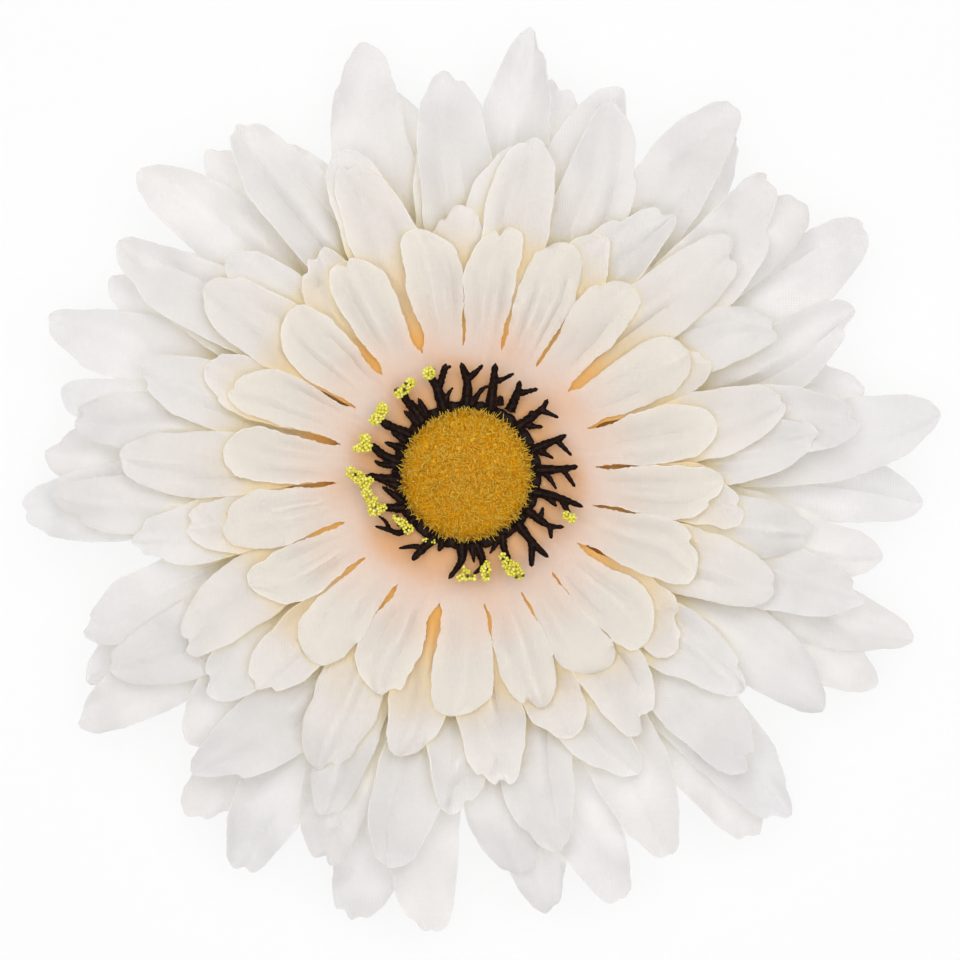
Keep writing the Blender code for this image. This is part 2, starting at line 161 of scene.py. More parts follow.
# Each sheet from the top down. root is the radius of its petals' roots; they lie at the
# angles in roots, or evenly from phase on, clockwise. fan is its rise over FAN_RUN. A petal
# is as narrow as waist at its root and widest at shoulder, as shares of its width and
# length. widths and tips give every petal's width and its tip's (angle, radius).
SHEETS = (
    dict(root=16.6, fan=9.5, waist=0.62, shoulder=0.6, widths=(
        7.5, 6.9, 7.4, 7.2, 7.6, 7.6, 7.0, 7.8, 7.6, 7.0, 7.6, 8.4, 8.2, 7.9, 7.3, 7.7, 7.1,
        7.0, 8.0, 7.5), tips=(
        (99, 32.2), (83, 32.3), (67, 32.5), (51, 32.2), (29, 32.5), (11, 32.8), (-4, 33.0),
        (-20, 31.9), (-40, 31.5), (-56, 30.7), (-72, 31.4), (-91, 31.0), (-115, 30.2),
        (-132, 31.1), (-150, 31.3), (-168, 32.1), (-186, 31.4), (-202, 32.4), (-220, 31.0),
        (-241, 31.9)), roots=(
        100, 83, 66, 49, 30, 12, -5, -22, -41, -57, -73, -91, -113, -132, -150, -168, -185,
        -202, -220, -240)),
    dict(root=16.6, fan=8.0, phase=93, waist=0.5, shoulder=0.58, widths=(7.8, 8.8) * 11, tips=(
        (93, 34.7), (79, 44.3), (61, 35.5), (40, 45.6), (27, 34.5), (11, 42.3), (-5, 36.0),
        (-20, 42.4), (-37, 35.2), (-53, 40.0), (-68, 36.4), (-83, 40.4), (-101, 37.1),
        (-117, 42.5), (-135, 38.6), (-151, 42.7), (-168, 36.9), (-181, 44.8), (-202, 36.4),
        (-215, 41.6), (-234, 35.0), (-250, 42.9))),
    dict(LOWER, fan=6.5, phase=137, widths=(8.8,) * 14, tips=(
        (138, 41.8), (111, 44.9), (84, 43.0), (54, 43.0), (28, 45.0), (4, 45.5), (-9, 45.4),
        (-35, 45.0), (-62, 44.5), (-90, 43.7), (-112, 48.0), (-140, 43.8), (-167, 44.0),
        (-197, 44.4))),
    dict(LOWER, fan=5.0, phase=113, widths=(
        9.8, 10.0, 10.6, 10.8, 9.9, 10.0, 10.0, 10.4, 10.0, 10.8, 10.4, 8.6, 8.8, 10.0), tips=(
        (124, 54.6), (93, 52.3), (66, 51.8), (42, 55.2), (10, 51.4), (-18, 54.0), (-45, 52.7),
        (-79, 50.0), (-103, 51.8), (-131, 52.5), (-151, 52.7), (-176, 53.7), (-188, 51.8),
        (-211, 54.0))),
    dict(LOWER, fan=3.6, phase=121, widths=(10.2,) * 14, tips=(
        (118, 49.2), (93, 49.2), (70, 54.0), (38, 56.3), (21, 54.6), (-14, 54.7), (-31, 55.2),
        (-61, 56.3), (-85, 52.5), (-113, 54.0), (-138, 50.0), (-157, 53.7), (-190, 53.7),
        (-215, 50.4))),
    dict(LOWER, fan=2.2, phase=107, shoulder=0.54, widths=(10.4,) * 14, tips=(
        (106, 57.8), (82, 58.8), (55, 59.6), (30, 61.3), (5, 62.0), (-21, 61.8), (-45, 61.0),
        (-71, 59.6), (-97, 59.9), (-121, 59.8), (-147, 60.0), (-175, 58.5), (-200, 58.3),
        (-225, 58.1))),
    dict(LOWER, fan=0.8, phase=127, shoulder=0.54, widths=(10.4,) * 14, tips=(
        (127, 54.2), (100, 51.6), (77, 52.8), (51, 56.8), (14, 53.0), (-1, 59.4), (-26, 60.0),
        (-49, 60.3), (-79, 58.1), (-104, 60.2), (-127, 57.4), (-151, 56.3), (-183, 55.0),
        (-208, 53.0))),
)

TOP_SHEET_Z = LOWEST_SHEET_Z + SHEET_PITCH * (len(SHEETS) - 1)
CENTRE_FLOOR_Z = TOP_SHEET_Z + 0.5
CALYX_SEAT_Z = LOWEST_SHEET_Z - 0.5

# Each strand of the moulded stamens: its course as (angle, radius), then its width at the
# start and at the end. Trunks start in the collar; tines, barbs and nubs start on a trunk.
STRANDS = (
    ((109, 9.3), (109, 11.8), (110.5, 13.6), 1.15, 0.75),
    ((109, 11.4), (105, 12.6), (100.5, 14.5), 0.9, 0.65),
    ((101.5, 13.9), (98, 14.1), 0.5, 0.3),
    ((108, 9.6), (103.5, 10.5), (98.7, 11.4), 0.75, 0.25),
    ((90.3, 9.1), (89.7, 11.9), (92.9, 14.4), 1.1, 0.7),
    ((89.1, 12.4), (85, 13.2), (81.6, 14.3), 0.75, 0.4),
    ((86.3, 9.8), (81, 10.8), (76.8, 11.8), 0.8, 0.3),
    ((70.1, 9.4), (73.9, 12.3), (75.6, 14.8), 1.1, 0.6),
    ((73.1, 12.5), (69, 13.2), (64.9, 14.4), 0.75, 0.35),
    ((65.0, 9.9), (66.7, 11.1), 1.0, 0.5),
    ((56.1, 9.9), (58.4, 12.3), (60.6, 13.9), 1.1, 0.5),
    ((57.0, 12.5), (54, 13.2), (50.2, 14.35), 0.75, 0.4),
    ((42.9, 9.2), (41.6, 11.3), (41.3, 12.9), (43.1, 14.25), 1.1, 0.45),
    ((41.4, 12.6), (36.5, 13.2), (31.8, 13.9), 0.7, 0.3),
    ((38.4, 10.1), (32, 11.6), 0.8, 0.3),
    ((42, 11.0), (44.5, 11.8), 0.8, 0.45),
    ((20.3, 9.4), (21.2, 11.0), (21.4, 12.5), (21.9, 13.8), 1.05, 0.5),
    ((21.3, 12.3), (16, 12.9), (10.2, 13.7), 0.7, 0.35),
    ((17.7, 10.0), (10.4, 11.4), 0.75, 0.25),
    ((3.9, 9.2), (3.5, 12.1), (4.4, 14.3), 1.05, 0.55),
    ((3.5, 12.3), (-1, 13.0), (-6.5, 14.0), 0.65, 0.4),
    ((2.3, 9.9), (-3.5, 10.8), (-9.3, 11.7), 0.75, 0.25),
    ((-14, 9.4), (-14, 12.3), (-15.4, 15.5), 1.1, 0.45),
    ((-14.8, 12.5), (-19.5, 13.7), (-21.5, 14.0), 0.7, 0.5),
    ((-15.5, 10.8), (-19.5, 12.3), 0.8, 0.25),
    ((-30.2, 9.6), (-31.6, 11.0), (-31.4, 12.6), (-28, 14.2), 1.0, 0.4),
    ((-31.4, 12.5), (-37.2, 13.6), 0.7, 0.35),
    ((-29, 10.9), (-22.5, 10.6), 0.6, 0.3),
    ((-43.6, 9.7), (-45.8, 12.2), (-45.3, 14.9), 1.05, 0.55),
    ((-45.8, 12.0), (-50.5, 13.1), (-54.8, 14.4), 0.85, 0.55),
    ((-59.1, 9.4), (-63, 10.6), (-64, 12.9), 0.9, 0.6),
    ((-62, 9.7), (-68.5, 9.8), (-74.2, 10.6), 0.85, 0.25),
    ((-82, 8.9), (-79.7, 10.8), (-79, 12.6), 0.95, 0.7),
    ((-79.5, 11.9), (-86.5, 12.8), 0.7, 0.3),
    ((-86, 9.2), (-85.2, 11.4), 0.8, 0.3),
    ((-94.1, 8.9), (-93.8, 11.1), (-100, 13.6), 1.15, 0.45),
    ((-109.5, 8.9), (-110.3, 10.5), 1.0, 0.35),
    ((-117.6, 9.4), (-121.7, 11.8), (-122.6, 13.0), 1.05, 0.45),
    ((-119.5, 10.9), (-126.5, 11.4), (-133.1, 12.9), 0.75, 0.3),
    ((-140, 9.0), (-138.7, 11.2), (-145.3, 12.3), (-151, 13.5), 0.9, 0.35),
    ((-144.6, 12.2), (-150, 12.0), (-155.4, 12.5), 0.6, 0.25),
    ((-152.2, 8.9), (-156, 10.4), (-160, 11.9), 1.05, 0.7),
    ((-158, 9.4), (-166, 9.9), (-172.3, 11.0), 0.9, 0.35),
    ((-175.6, 8.7), (-177.8, 10.9), (-179.7, 12.8), 1.1, 0.7),
    ((-170, 9.0), (-174, 10.2), (-177, 11.3), 0.8, 0.4),
    ((169.2, 8.9), (166.5, 11.1), (162, 12.9), 1.1, 0.7),
    ((172, 9.6), (173, 11.0), (171, 12.0), 0.8, 0.35),
    ((157.8, 9.2), (158.3, 11.4), 0.95, 0.35),
    ((145, 9.0), (146.6, 10.6), (147.8, 12.3), (146.5, 13.2), 1.1, 0.7),
    ((151, 9.4), (150.5, 11.2), 0.9, 0.35),
    ((129.3, 9.0), (128.6, 11.1), (128.9, 12.4), (127, 13.4), 1.2, 0.7),
    ((123.5, 9.8), (122.3, 11.7), 0.85, 0.4),
    ((133.6, 9.8), (134.4, 11.6), 0.9, 0.4),
)

# Each pollen clump as a chain of lobes: (angle, radius from the axis, lobe radius).
POLLEN = (
    ((110.3, 13.9, 0.85),),
    ((129.5, 13.6, 0.72), (125.7, 13.6, 0.7), (121.8, 13.8, 0.72)),
    ((149.0, 13.7, 0.78), (145.5, 13.5, 0.75), (142.0, 13.7, 0.85)),
    ((166.8, 14.5, 0.55), (164.0, 13.5, 0.85), (160.5, 13.8, 0.8)),
    ((178.8, 14.8, 0.75), (181.5, 13.8, 0.85), (183.0, 12.4, 0.5), (186.0, 13.2, 0.7)),
    ((190.5, 13.0, 0.75), (195.5, 12.6, 0.85), (200.5, 12.6, 0.9), (201.5, 11.6, 0.6)),
    ((211.0, 10.7, 0.5), (216.0, 10.4, 0.65), (222.5, 10.2, 0.72)),
    ((237.0, 9.9, 0.38), (240.5, 9.8, 0.4), (243.5, 9.5, 0.35)),
    ((266.5, 13.2, 0.55), (270.0, 12.9, 0.62), (268.5, 12.0, 0.42), (273.5, 13.2, 0.5)),
    ((280.5, 13.3, 0.62), (281.5, 12.4, 0.72), (283.0, 11.6, 0.42)),
    ((293.5, 11.4, 0.55), (294.5, 12.4, 0.75), (296.0, 13.4, 1.0), (297.5, 14.2, 0.85)),
    ((338.0, 13.8, 0.6), (337.5, 14.5, 0.68)),
)


def polar(radius, degrees, z=0.0):
    """The point at a radius and an angle round the axis."""
    angle = math.radians(degrees)
    return Vector((radius * math.cos(angle), radius * math.sin(angle), z))


def smooth_step(share):
    share = np.clip(share, 0.0, 1.0)
    return share * share * (3.0 - 2.0 * share)


def any_heading(rng):
    """A vector in any direction, of random length."""
    return Vector((rng.gauss(0, 1), rng.gauss(0, 1), rng.gauss(0, 1)))


# --- pieces ---

def make_mesh(name, vertices, faces):
    """A mesh in metres from vertices in millimetres."""
    mesh = bpy.data.meshes.new(name)
    mesh.from_pydata((np.asarray(vertices, float) * MM).tolist(), [], faces)
    mesh.update()
    return mesh


def put_in_scene(name, data):
    """An object in the scene for a mesh, a lamp or a camera."""
    thing = bpy.data.objects.new(name, data)
    bpy.context.scene.collection.objects.link(thing)
    return thing


def make_piece(name, mesh, material, node):
    """A piece that stands for a CAD node, from its finished mesh."""
    piece = put_in_scene(name, mesh)
    mesh.materials.append(material)
    mesh.shade_smooth()
    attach(piece, ROOT)
    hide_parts(node)
    return piece


def band(lower, upper):
    """The faces between two closed rings of as many points."""
    for k in range(len(lower)):
        j = (k + 1) % len(lower)
        yield lower[k], lower[j], upper[j], upper[k]


def skin(rings):
    """The faces between each closed ring of points and the next."""
    for lower, upper in zip(rings, rings[1:]):
        yield from band(lower, upper)


def turn_faces_out(mesh, merge=False):
    """Make a mesh's faces point the same way out, with its doubled points merged first."""
    bm = bmesh.new()
    bm.from_mesh(mesh)
    if merge:
        bmesh.ops.remove_doubles(bm, verts=bm.verts, dist=1e-7)
    bmesh.ops.recalc_face_normals(bm, faces=bm.faces)
    bm.to_mesh(mesh)
    bm.free()


def add_attribute(mesh, name, values):
    attribute = mesh.attributes.new(name, "FLOAT", "POINT")
    attribute.data.foreach_set("value", np.asarray(values, np.float32))


# --- materials ---

class Nodes:
    """A node tree, with short calls to add nodes and join them."""

    def __init__(self, tree):
        self.tree = tree

    def node(self, kind, inputs=None, **settings):
        """Add a node of a kind, named without its ShaderNode in front."""
        made = self.tree.nodes.new("ShaderNode" + kind)
        for key, value in settings.items():
            setattr(made, key, value)
        for key, value in (inputs or {}).items():
            self.feed(made.inputs[key], value)
        return made

    def feed(self, socket, value):
        if isinstance(value, bpy.types.NodeSocket):
            self.tree.links.new(value, socket)
        else:
            socket.default_value = value

    def math(self, operation, first, second=0.0, third=0.0):
        made = self.node("Math", {0: first, 1: second, 2: third}, operation=operation)
        return made.outputs[0]

    def scaled(self, value, low, high, to_low=0.0, to_high=1.0):
        """value carried smoothly from one range to another, without going past it."""
        made = self.node("MapRange", {"Value": value, "From Min": low, "From Max": high,
                                      "To Min": to_low, "To Max": to_high},
                         interpolation_type="SMOOTHSTEP")
        return made.outputs["Result"]

    def seen(self):
        """1 for rays that show the surface to the camera, in a mirror or through glass
        too, and 0 for rays that light the object."""
        path = self.node("LightPath").outputs
        seen = self.math("MAXIMUM", path["Is Camera Ray"], path["Is Glossy Ray"])
        return self.math("MAXIMUM", seen, path["Is Transmission Ray"])


class Shading(Nodes):
    """The node tree of a new material."""

    def __init__(self, name):
        self.material = bpy.data.materials.new(name)
        self.material.use_nodes = True
        super().__init__(self.material.node_tree)
        self.shader = self.tree.nodes["Principled BSDF"]
        self.output = self.tree.nodes["Material Output"]

    def mixed(self, share, first, second, blend="MIX"):
        made = self.node("Mix", {"Factor": share, 6: first, 7: second},
                         data_type="RGBA", blend_type=blend)
        return made.outputs[2]

    def noise(self, scale, detail=2.0):
        made = self.node("TexNoise", {"Vector": self.place(), "Scale": scale,
                                      "Detail": detail})
        return made.outputs["Fac"]

    def place(self):
        """Where a point is on the object, in millimetres."""
        coordinates = self.node("TexCoord").outputs["Object"]
        made = self.node("VectorMath", {0: coordinates, 1: (1 / MM,) * 3},
                         operation="MULTIPLY")
        return made.outputs[0]

    def attribute(self, name):
        return self.node("Attribute", attribute_name=name).outputs["Fac"]

    def bump(self, height, strength, distance):
        """A normal for a height in millimetres times a distance."""
        made = self.node("Bump", {"Height": height, "Strength": strength,
                                  "Distance": distance * MM})
        return made.outputs["Normal"]

    def set(self, **inputs):
        for key, value in inputs.items():
            self.feed(self.shader.inputs[key.replace("_", " ")], value)

    def mix_in(self, share, kind, inputs):
        """Give a share of the surface another shader."""
        other = self.node(kind, inputs)
        mix = self.node("MixShader", {0: share, 1: self.shader.outputs[0],
                                      2: other.outputs[0]})
        self.feed(self.output.inputs["Surface"], mix.outputs[0])

    def see_light_through(self, share, colour):
        """Mix in a Translucent shader, for thin cloth and fibres lit from behind."""
        self.mix_in(share, "BsdfTranslucent", {"Color": colour})


def srgb(red, green, blue):
    """A colour as screens count it, from 0 to 255, as the linear colour of a shader."""
    channels = []
    for value in (red / 255, green / 255, blue / 255):
        low = value <= 0.04045
        channels.append(value / 12.92 if low else ((value + 0.055) / 1.055) ** 2.4)
    return (*channels, 1.0)


NOISE_RANGE = (0.3, 0.7)  # nearly all of a noise's values lie between these
THREADS_PER_MM = 2.9
WEAVE_DEPTH = 0.05
WEAVE_SHADE = 0.011  # how much the threads and the thicker yarns lighten the dye
SLUB_SHADE = 0.04
DARKEST_SLUB = 0.965
TRANSLUCENCY = 0.56  # share of the light on the threads that goes through them
CLOTH_WARM_WHITE = srgb(248, 246, 245)
CLOTH_COOL_WHITE = srgb(245, 244, 244)
CLOTH_CREAMS = (srgb(252, 249, 245), srgb(252, 249, 247), srgb(251, 249, 248))
# Painted shade: a warm gold, paling to cream further out, laid on the lower sheets where the
# sheets above cover them, in place of light bouncing between the sheets.
PAINTED_SHADE_GOLD = srgb(255, 246, 217)
PAINTED_SHADE_CREAM = srgb(252, 250, 246)
# partly the hub's dye and partly painted shade and glow round the stamens' feet
HUB_DYE_AND_PAINTED_SHADE = srgb(253, 217, 167)
CLOTH_PEACH = srgb(254, 241, 232)
CLOTH_PINK = srgb(253, 225, 194)
CLOTH_HEART = srgb(254, 231, 186)
DYE_ORANGE = srgb(255, 215, 130)
DYE_YELLOW = srgb(252, 236, 204)
CREAM_FADE = (34.0, 54.0)  # distances from the axis over which cream turns into white
PAINTED_SHADE_FADE = (25.0, 46.0)  # and those over which the gold of the painted shade turns pale
PAINTED_SHADE_COVER_FADE = (0.12, 0.7)  # shares of covered ground over which that painted shade comes in
# Colours from the hub outwards, each with the distances from the axis where it fades out. On the
# top sheet the innermost, round the stamens, is partly dye and partly painted shade.
TOP_SHEET_DYES_AND_SHADE = ((CLOTH_PEACH, 12.0, 26.0), (CLOTH_PINK, 9.5, 18.0), (HUB_DYE_AND_PAINTED_SHADE, 9.5, 16.0))
LOWER_SHEET_DYES = ((DYE_YELLOW, 22.0, 34.0), (DYE_ORANGE, 17.5, 26.0),
                    (CLOTH_HEART, 12.0, 16.5))


def petal_material(index):
    """Stiffened woven cloth, dyed from the hub outwards. On the lower sheets a warm painted shade
    goes where the sheets above cover them; on the top sheet the colour round the stamens is
    partly dye and partly painted shade. "reach" is how far the dye has run: the distance from
    the axis in the flat cloth, with some unevenness."""
    s = Shading(f"petal_cloth_{index + 1}")
    reach = s.attribute("reach")
    cream = CLOTH_CREAMS[min(index, 2)]
    white = s.mixed(s.attribute("tone"), CLOTH_WARM_WHITE, CLOTH_COOL_WHITE)
    colour = s.mixed(s.scaled(reach, *CREAM_FADE), cream, white)
    if index:
        # painted shade where the sheets above cover this one
        painted_shade = s.mixed(s.scaled(reach, *PAINTED_SHADE_FADE), PAINTED_SHADE_GOLD, PAINTED_SHADE_CREAM)
        colour = s.mixed(s.scaled(s.attribute("covered"), *PAINTED_SHADE_COVER_FADE), colour, painted_shade)
    # the dyes, and on the top sheet a hub colour that is partly painted shade
    for radial_colour, full, gone in (LOWER_SHEET_DYES if index else TOP_SHEET_DYES_AND_SHADE):
        colour = s.mixed(s.scaled(reach, full, gone), radial_colour, colour)
    cloth = s.node("UVMap", uv_map="cloth").outputs["UV"]
    across = s.node("SeparateXYZ", {0: cloth})
    turn = math.tau * THREADS_PER_MM / MM
    warp = s.math("SINE", s.math("MULTIPLY", across.outputs["X"], turn))
    weft = s.math("SINE", s.math("MULTIPLY", across.outputs["Y"], turn))
    weave = s.math("ADD", s.math("MULTIPLY", warp, 0.6), s.math("MULTIPLY", weft, 0.4))
    slub = s.noise(1.6, 1.0)
    shade = s.math("MULTIPLY_ADD", weave, WEAVE_SHADE, s.math("MULTIPLY", slub, SLUB_SHADE))
    colour = s.mixed(1.0, colour, s.math("ADD", shade, DARKEST_SLUB), "MULTIPLY")
    s.set(Base_Color=colour, Roughness=s.scaled(slub, *NOISE_RANGE, 0.66, 0.8),
          Specular_IOR_Level=0.1, Normal=s.bump(weave, 0.5, WEAVE_DEPTH))
    s.see_light_through(TRANSLUCENCY, colour)
    return s.material


def flock_material():
    s = Shading("gold_flock")
    tone = s.attribute("tone")
    along = s.attribute("along")
    deep = s.mixed(tone, srgb(255, 202, 2), srgb(255, 211, 4))
    # Painted highlight: fibres with a high tone turn pale yellow towards their tips ("along"), as
    # glints of light on them.
    painted_glint = s.mixed(tone, srgb(255, 208, 6), srgb(255, 240, 130))
    colour = s.mixed(along, deep, painted_glint)
    s.set(Base_Color=colour, Roughness=0.3, Specular_IOR_Level=0.15,
          Specular_Tint=srgb(255, 206, 70))
    s.see_light_through(0.4, colour)
    return s.material


def button_material():
    s = Shading("amber_button")
    grain = s.noise(3.0, 4.0)
    s.set(Base_Color=s.mixed(grain, srgb(250, 196, 14), srgb(254, 208, 22)), Roughness=0.6,
          Normal=s.bump(grain, 0.4, 0.1))
    return s.material


def stamen_material():
    s = Shading("dark_moulding")
    grain = s.noise(2.2, 2.0)
    fine = s.noise(9.0, 1.0)
    colour = s.mixed(s.scaled(grain, 0.35, 0.7), srgb(16, 9, 8), srgb(40, 24, 18))
    s.set(Base_Color=colour, Roughness=s.scaled(fine, *NOISE_RANGE, 0.35, 0.6),
          Specular_IOR_Level=0.06, Normal=s.bump(fine, 0.35, 0.05))
    return s.material


def pollen_material():
    s = Shading("lemon_granules")
    tone = s.attribute("tone")
    colour = s.mixed(tone, srgb(222, 212, 48), srgb(247, 240, 120))
    colour = s.mixed(s.scaled(tone, 0.03, 0.05), srgb(60, 48, 16), colour)
    s.set(Base_Color=colour, Roughness=s.scaled(s.noise(5.0), *NOISE_RANGE, 0.35, 0.55),
          Subsurface_Weight=0.25, Subsurface_Scale=0.25 * MM)
    s.shader.inputs["Subsurface Radius"].default_value = (1.0, 0.9, 0.3)
    return s.material


def calyx_material():
    s = Shading("green_moulding")
    grain = s.noise(0.7, 4.0)
    fine = s.noise(6.0, 3.0)
    colour = s.mixed(s.scaled(grain, *NOISE_RANGE), srgb(84, 118, 52), srgb(112, 146, 70))
    tip = s.scaled(s.node("SeparateXYZ", {0: s.place()}).outputs["Z"], 7.0, 11.5)
    colour = s.mixed(tip, colour, srgb(128, 158, 84))
    s.set(Base_Color=colour, Roughness=s.scaled(fine, *NOISE_RANGE, 0.42, 0.6),
          Normal=s.bump(fine, 0.3, 0.05), Subsurface_Weight=0.1,
          Subsurface_Scale=0.6 * MM)
    return s.material


def washer_material():
    s = Shading("cloudy_plastic")
    cloud = s.noise(1.2, 3.0)
    s.set(Base_Color=s.mixed(cloud, srgb(214, 210, 198), srgb(234, 230, 220)),
          Roughness=s.scaled(cloud, *NOISE_RANGE, 0.35, 0.5), Subsurface_Weight=0.3,
          Subsurface_Scale=0.8 * MM)
    return s.material


# --- petal sheets ---

def sheet_z(sheet, index, radius):
    """Height of a sheet's middle surface at a radius, before any relief."""
    hub = TOP_SHEET_Z - SHEET_PITCH * index
    run = np.maximum(0.0, (radius - FAN_START) / FAN_RUN)
    closing = SHEET_CLOSING[index] * smooth_step((radius - CLOSING_START) / CLOSING_RUN)
    fan = EVEN_FAN + FAN_SPREAD * (sheet["fan"] - EVEN_FAN)
    return hub + closing + fan * run - DROOP * run * run


def petal_roots(sheet):
    if "roots" in sheet:
        return sheet["roots"]
    count = len(sheet["tips"])
    return [sheet["phase"] - 360.0 * i / count for i in range(count)]


def width_share(sheet, shares, shift=0.0, fullness=TIP_FULLNESS, bluntness=TIP_BLUNTNESS):
    """A petal's width along its length, as a share of its full width."""
    shoulder = sheet["shoulder"] + shift
    waist = sheet["waist"]
    rising = waist + (1.0 - waist) * smooth_step(shares / shoulder)
    over = np.clip((shares - shoulder) / (1.0 - shoulder), 0.0, 1.0)
    falling = (1.0 - over ** fullness) ** bluntness
    return np.maximum(np.where(shares <= shoulder, rising, falling), TIP_WIDTH_SHARE)


def uneven_side(rng, sheet, shares):
    """One side's share of a petal's full width, cut a little out of true, in short
    stretches that are nearly straight."""
    shift = rng.uniform(-0.1, 0.08)
    fullness = rng.uniform(1.9, 3.4)
    bluntness = rng.uniform(0.42, 0.58)
    true_side = width_share(sheet, shares, shift, fullness, bluntness)
    knots = np.array([0.0] + [share + rng.uniform(-0.04, 0.04) for share in CORNER_SHARES]
                     + [0.97, 1.0])
    corners = width_share(sheet, knots, shift, fullness, bluntness)
    corners *= np.array([1.0] + [rng.uniform(0.89, 1.09) for _ in CORNER_SHARES] + [1.0, 1.0])
    pace = rng.uniform(22.0, 40.0)
    ruffle = 1.0 + rng.uniform(0.005, 0.025) * np.sin(shares * pace + rng.uniform(0.0, math.tau))
    return (0.3 * true_side + 0.7 * np.interp(shares, knots, corners)) * ruffle


def row_shares():
    """Shares of a petal's length where its rows lie, closer together at the tip."""
    even = np.arange(PETAL_ROWS + 1) / PETAL_ROWS
    return 0.35 * even + 0.65 * np.sin(even * math.pi / 2)


def waves(rng, x, y, length):
    """Gentle unevenness between about -1 and 1, as a sum of waves of about one length."""
    total = np.zeros(np.broadcast(x, y).shape)
    for _ in range(5):
        heading = rng.uniform(0.0, math.tau)
        pace = math.tau / (length * rng.uniform(0.7, 1.5))
        total += np.sin((x * math.cos(heading) + y * math.sin(heading)) * pace
                        + rng.uniform(0.0, math.tau))
    return total / 3.0


def petal_relief(rng, index, shares, t, length, half):
    """Height of a petal's creases, cupping, curl and waves over the sheet's own surface.
    t runs from -1 at the right edge to 1 at the left edge."""
    size = length / 40.0
    fullness = np.minimum(1.0, 1.6 * half / half.max())
    leave = smooth_step(shares / 0.35) * fullness
    cup = rng.uniform(0.4, 1.1) * (0.6 + size)
    if rng.random() < 0.35:
        cup *= -0.7
    height = cup * leave * (t * t - 0.35)
    for place in CREASE_PLACES:
        place += rng.uniform(-0.12, 0.12)
        depth = rng.uniform(0.3, 1.0) * (0.7 + 0.5 * size)
        spread = rng.uniform(0.11, 0.22)
        end = rng.uniform(0.65, 0.95)
        fade = 1.0 - smooth_step((shares - end + 0.3) / 0.3)
        settled = 0.25 + 0.75 * smooth_step(shares / 0.4)
        groove = np.exp(-((t - place) / spread) ** 2)
        height -= depth * fade * settled * fullness * groove
    if index and rng.random() < 0.4:
        fold = rng.uniform(-0.3, 0.3)
        height -= rng.uniform(0.5, 1.2) * leave * np.exp(-np.abs(t - fold) / 0.35)
    height += rng.uniform(0.1, 0.7) * leave * np.exp(-(t / 0.25) ** 2)
    height += rng.uniform(-0.7, 0.7) * size * leave * t * shares
    height += rng.uniform(-0.3, 0.6) * size * shares ** 2 * leave
    curl = rng.uniform(0.2, 1.6) * size
    height -= curl * np.clip((shares - 0.7) / 0.3, 0.0, 1.0) ** 2
    edge = rng.uniform(0.3, 1.0) * size * np.abs(t) ** 2.5 * leave
    height += edge * waves(rng, shares * length, t, 8.0)
    height += 0.26 * size * leave * waves(rng, shares * length, t * half, 7.0)
    return height


def slot_reach(sheet, number):
    """Distances from a petal's middle to the slots on its left and right, at its root."""
    roots = petal_roots(sheet)
    before = (roots[number - 1] - roots[number]) % 360.0
    after = (roots[number] - roots[(number + 1) % len(roots)]) % 360.0
    half_slot = SLOT_END / 2
    return [math.radians(turn / 2) * sheet["root"] - half_slot for turn in (before, after)]


def notches(rng, index, shares, lateral):
    """How far the nicks in a petal's tip bring its edge back."""
    near_tip = smooth_step((shares - 0.66) / 0.2)
    total = 0.0
    for _ in range(rng.choice(NOTCHES[min(index, 1)])):
        place = rng.uniform(-0.75, 0.75)
        depth = rng.uniform(0.35, 1.2)
        total = total + depth * near_tip * np.exp(-((lateral - place) / NOTCH_WIDTH) ** 2)
    return total


def petal_strip(rng, sheet, index, number):
    """One petal as rows of points from just past its root to its tip, with the places of
    those points in the flat cloth, and the creases' heights at its root."""
    root_angle = petal_roots(sheet)[number]
    tip_angle, tip_radius = sheet["tips"][number]
    width = sheet["widths"][number]
    root = np.array(polar(sheet["root"], root_angle))[:2]
    tip = np.array(polar(tip_radius, tip_angle))[:2]
    run = tip - root
    length = float(np.hypot(*run))
    along = run / length
    side = np.array((-along[1], along[0]))
    outwards = np.array(polar(1.0, root_angle))[:2]
    lean = float(np.cross(outwards, along))
    shares = row_shares()[:, None]
    t = np.linspace(1.0, -1.0, PETAL_COLUMNS + 1)[None, :]
    bow = (-0.175 * lean + rng.uniform(-0.02, 0.02)) * length
    middle = bow * np.sin(math.pi * shares) * (1.0 - 0.4 * shares)
    half = width / 2 * width_share(sheet, shares)
    left_half, right_half = [width / 2 * uneven_side(rng, sheet, shares) for _ in range(2)]
    jagged = np.array([[rng.uniform(-FRAY, FRAY) for _ in range(PETAL_COLUMNS + 1)]
                       for _ in range(PETAL_ROWS + 1)])
    jagged[:, 1:-1] = 0.0
    if index == 0:
        jagged *= 1.2 + 0.8 * (shares < 0.4)
    left, right = slot_reach(sheet, number)
    join = 1.0 - smooth_step(shares * length / SLOT_TAPER)
    spread = np.where(t > 0, left, right)
    tip_skew = rng.uniform(-0.26, 0.26) * width * np.clip((shares - 0.6) / 0.4, 0, 1) ** 2
    own = t * np.where(t > 0, left_half, right_half) + tip_skew
    sideways = middle + own * (1 - join) + t * spread * join + jagged * np.sign(t)
    lateral = own / (width / 2)
    reach = shares * length - notches(rng, index, shares, lateral)
    x = root[0] + along[0] * reach + side[0] * sideways
    y = root[1] + along[1] * reach + side[1] * sideways
    relief = petal_relief(rng, index, shares, t, length, half)
    z = sheet_z(sheet, index, np.hypot(x, y)) + relief
    flat_reach = sheet["root"] + reach
    flat_x = outwards[0] * flat_reach - outwards[1] * (t * half)
    flat_y = outwards[1] * flat_reach + outwards[0] * (t * half)
    points = np.stack(np.broadcast_arrays(x, y, z), axis=-1)
    flat = np.stack(np.broadcast_arrays(flat_x, flat_y), axis=-1)
    return points, flat, relief[0]


